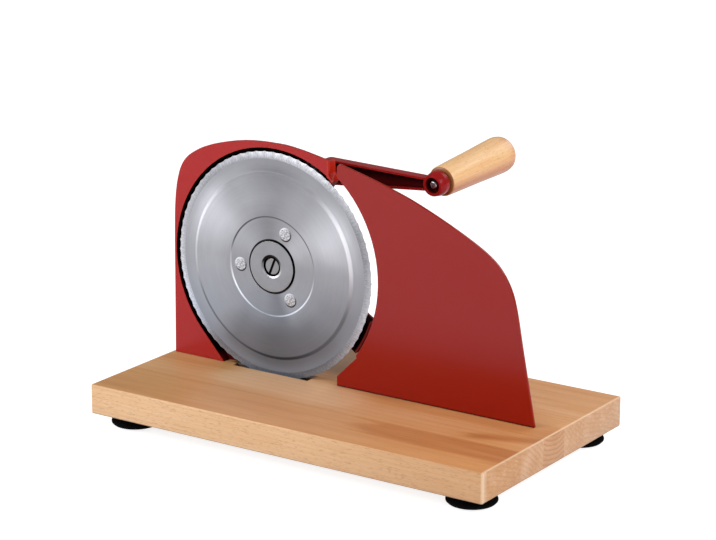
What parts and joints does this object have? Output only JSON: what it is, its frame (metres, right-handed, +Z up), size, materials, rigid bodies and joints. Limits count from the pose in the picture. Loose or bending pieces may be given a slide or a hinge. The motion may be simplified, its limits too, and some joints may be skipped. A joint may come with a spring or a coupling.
{
  "type": "hand-crank food slicer",
  "caption": "Hand-crank slicer: wooden board on rubber feet, red frame with a round serrated blade, geared crank with wooden handle, and a stop plate set by a knob.",
  "frame": {"origin": "on the surface the feet stand on, under the middle of the object's bounding box, handle included", "axes": "+X along the board from the blade to the stop plate, +Y away from the side that the food comes from, +Z up"},
  "size_m": [0.369, 0.2371, 0.2288],
  "materials": {
    "board": "oiled, laid up from lengthwise staves",
    "rubber": "matt black",
    "screws": "zinc plated",
    "red_coat": "glossy red powder coat",
    "blade": "circular brushed, ground bright at the rim",
    "hub": "finely turned",
    "gear": "natural white",
    "shaft": "turned",
    "brass": "turned",
    "handle_wood": "clear lacquered beech",
    "knob": "black, fluted"
  },
  "bodies": {
    "base": {"board": "board", "foot_front_left": "rubber", "foot_front_right": "rubber", "foot_back_left": "rubber", "foot_back_right": "rubber", "foot_screw_front_left": "screws", "foot_screw_front_right": "screws", "foot_screw_back_left": "screws", "foot_screw_back_right": "screws", "frame": "red_coat", "frame_screw_1": "screws", "frame_screw_2": "screws", "frame_screw_3": "screws", "hub_cap": "hub", "hub_screw": "hub", "crank_bush": "brass", "bracket": "red_coat", "bracket_screw_left": "screws", "bracket_screw_right": "screws", "spindle_nut": "brass"},
    "blade_group": {"blade": "blade", "gear_wheel": "gear", "rivet_1": "hub", "rivet_2": "hub", "rivet_3": "hub"},
    "crank": {"crank_shaft": "shaft", "pinion": "shaft", "crank_arm": "red_coat", "crank_washer": "shaft", "crank_nut": "shaft", "handle_screw": "screws", "handle_washer": "shaft", "handle_pin": "shaft"},
    "grip": {"handle": "handle_wood"},
    "stop": {"stop_plate": "red_coat", "carriage": "red_coat", "guide_rod_left": "shaft", "guide_rod_right": "shaft"},
    "knob_group": {"spindle": "shaft", "knob": "knob", "knob_cap": "screws"}
  },
  "joints": [
    {"name": "blade_spin", "type": "hinge", "parent": "base", "child": "blade_group", "pos_m": [-0.08, -0.011, 0.1263], "axis": [0, 1, 0], "continuous": true},
    {"name": "crank_spin", "type": "hinge", "parent": "base", "child": "crank", "pos_m": [-0.0455, 0.015, 0.20453], "axis": [0, 1, 0], "continuous": true},
    {"name": "handle_spin", "type": "hinge", "parent": "crank", "child": "grip", "pos_m": [0.05571, 0.015, 0.20753], "axis": [0.02, 0.9979, 0.0619], "continuous": true},
    {"name": "plate_slide", "type": "slide", "parent": "base", "child": "stop", "axis": [0, 1, 0], "range_m": [0, 0.018]},
    {"name": "knob_turn", "type": "hinge", "parent": "stop", "child": "knob_group", "pos_m": [0.062, 0.06, 0.066], "axis": [0, 1, 0], "range_deg": [0, 2160]}
  ],
  "couplings": [
    {"joint": "crank_spin", "follows": "blade_spin", "ratio": -6.125},
    {"joint": "knob_turn", "follows": "plate_slide", "rad_per_m": 2094.4}
  ]
}
